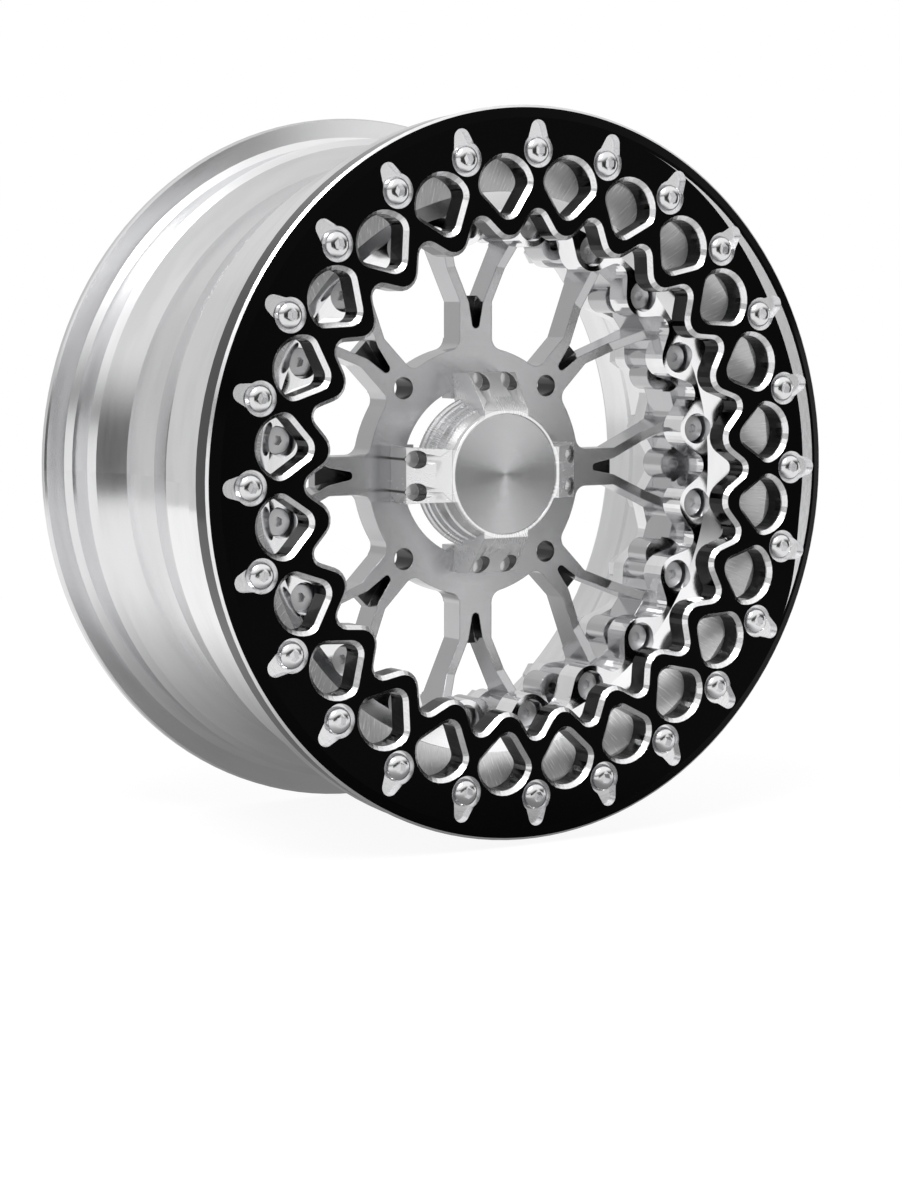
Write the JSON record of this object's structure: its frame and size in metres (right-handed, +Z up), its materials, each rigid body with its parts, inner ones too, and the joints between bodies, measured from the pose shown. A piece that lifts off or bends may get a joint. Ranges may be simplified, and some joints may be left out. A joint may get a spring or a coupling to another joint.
{
  "type": "beadlock wheel",
  "caption": "Multi-piece off-road wheel: black beadlock clamp ring, two-half barrel, forked-spoke centre and tall legged hub cap.",
  "frame": {"origin": "centre of the lug bolt circle on the face that meets the hub", "axes": "+Y along the axle towards the vehicle, the wheel's face looks along -Y; +Z up, the valve at the top"},
  "size_m": [0.4155, 0.2071, 0.4156],
  "materials": {
    "ring": "black gloss, machined bright bevels and pockets",
    "bright_screws": "polished",
    "steel": "zinc plated",
    "barrel": "turned and polished",
    "centre": "satin machined",
    "cap": "machined bright",
    "cap_disc": "satin, turned",
    "rubber": "black",
    "brass": "plain",
    "black_plastic": "black"
  },
  "bodies": {
    "root": {"beadlock_ring": "ring", "ring_screws": "bright_screws", "ring_inserts": "steel", "front_barrel": "barrel", "rear_barrel": "barrel", "barrel_seal": "rubber", "wheel_centre": "centre", "assembly_bolts": "steel", "assembly_washers": "steel", "assembly_nuts": "steel", "cap_tower": "cap", "cap_disc": "cap_disc", "cap_seal": "rubber", "cap_screws": "bright_screws", "valve_stem": "bright_screws", "valve_grommet": "rubber", "valve_washer": "steel", "valve_nut": "steel", "valve_core": "brass", "valve_cap": "black_plastic"}
  },
  "joints": []
}
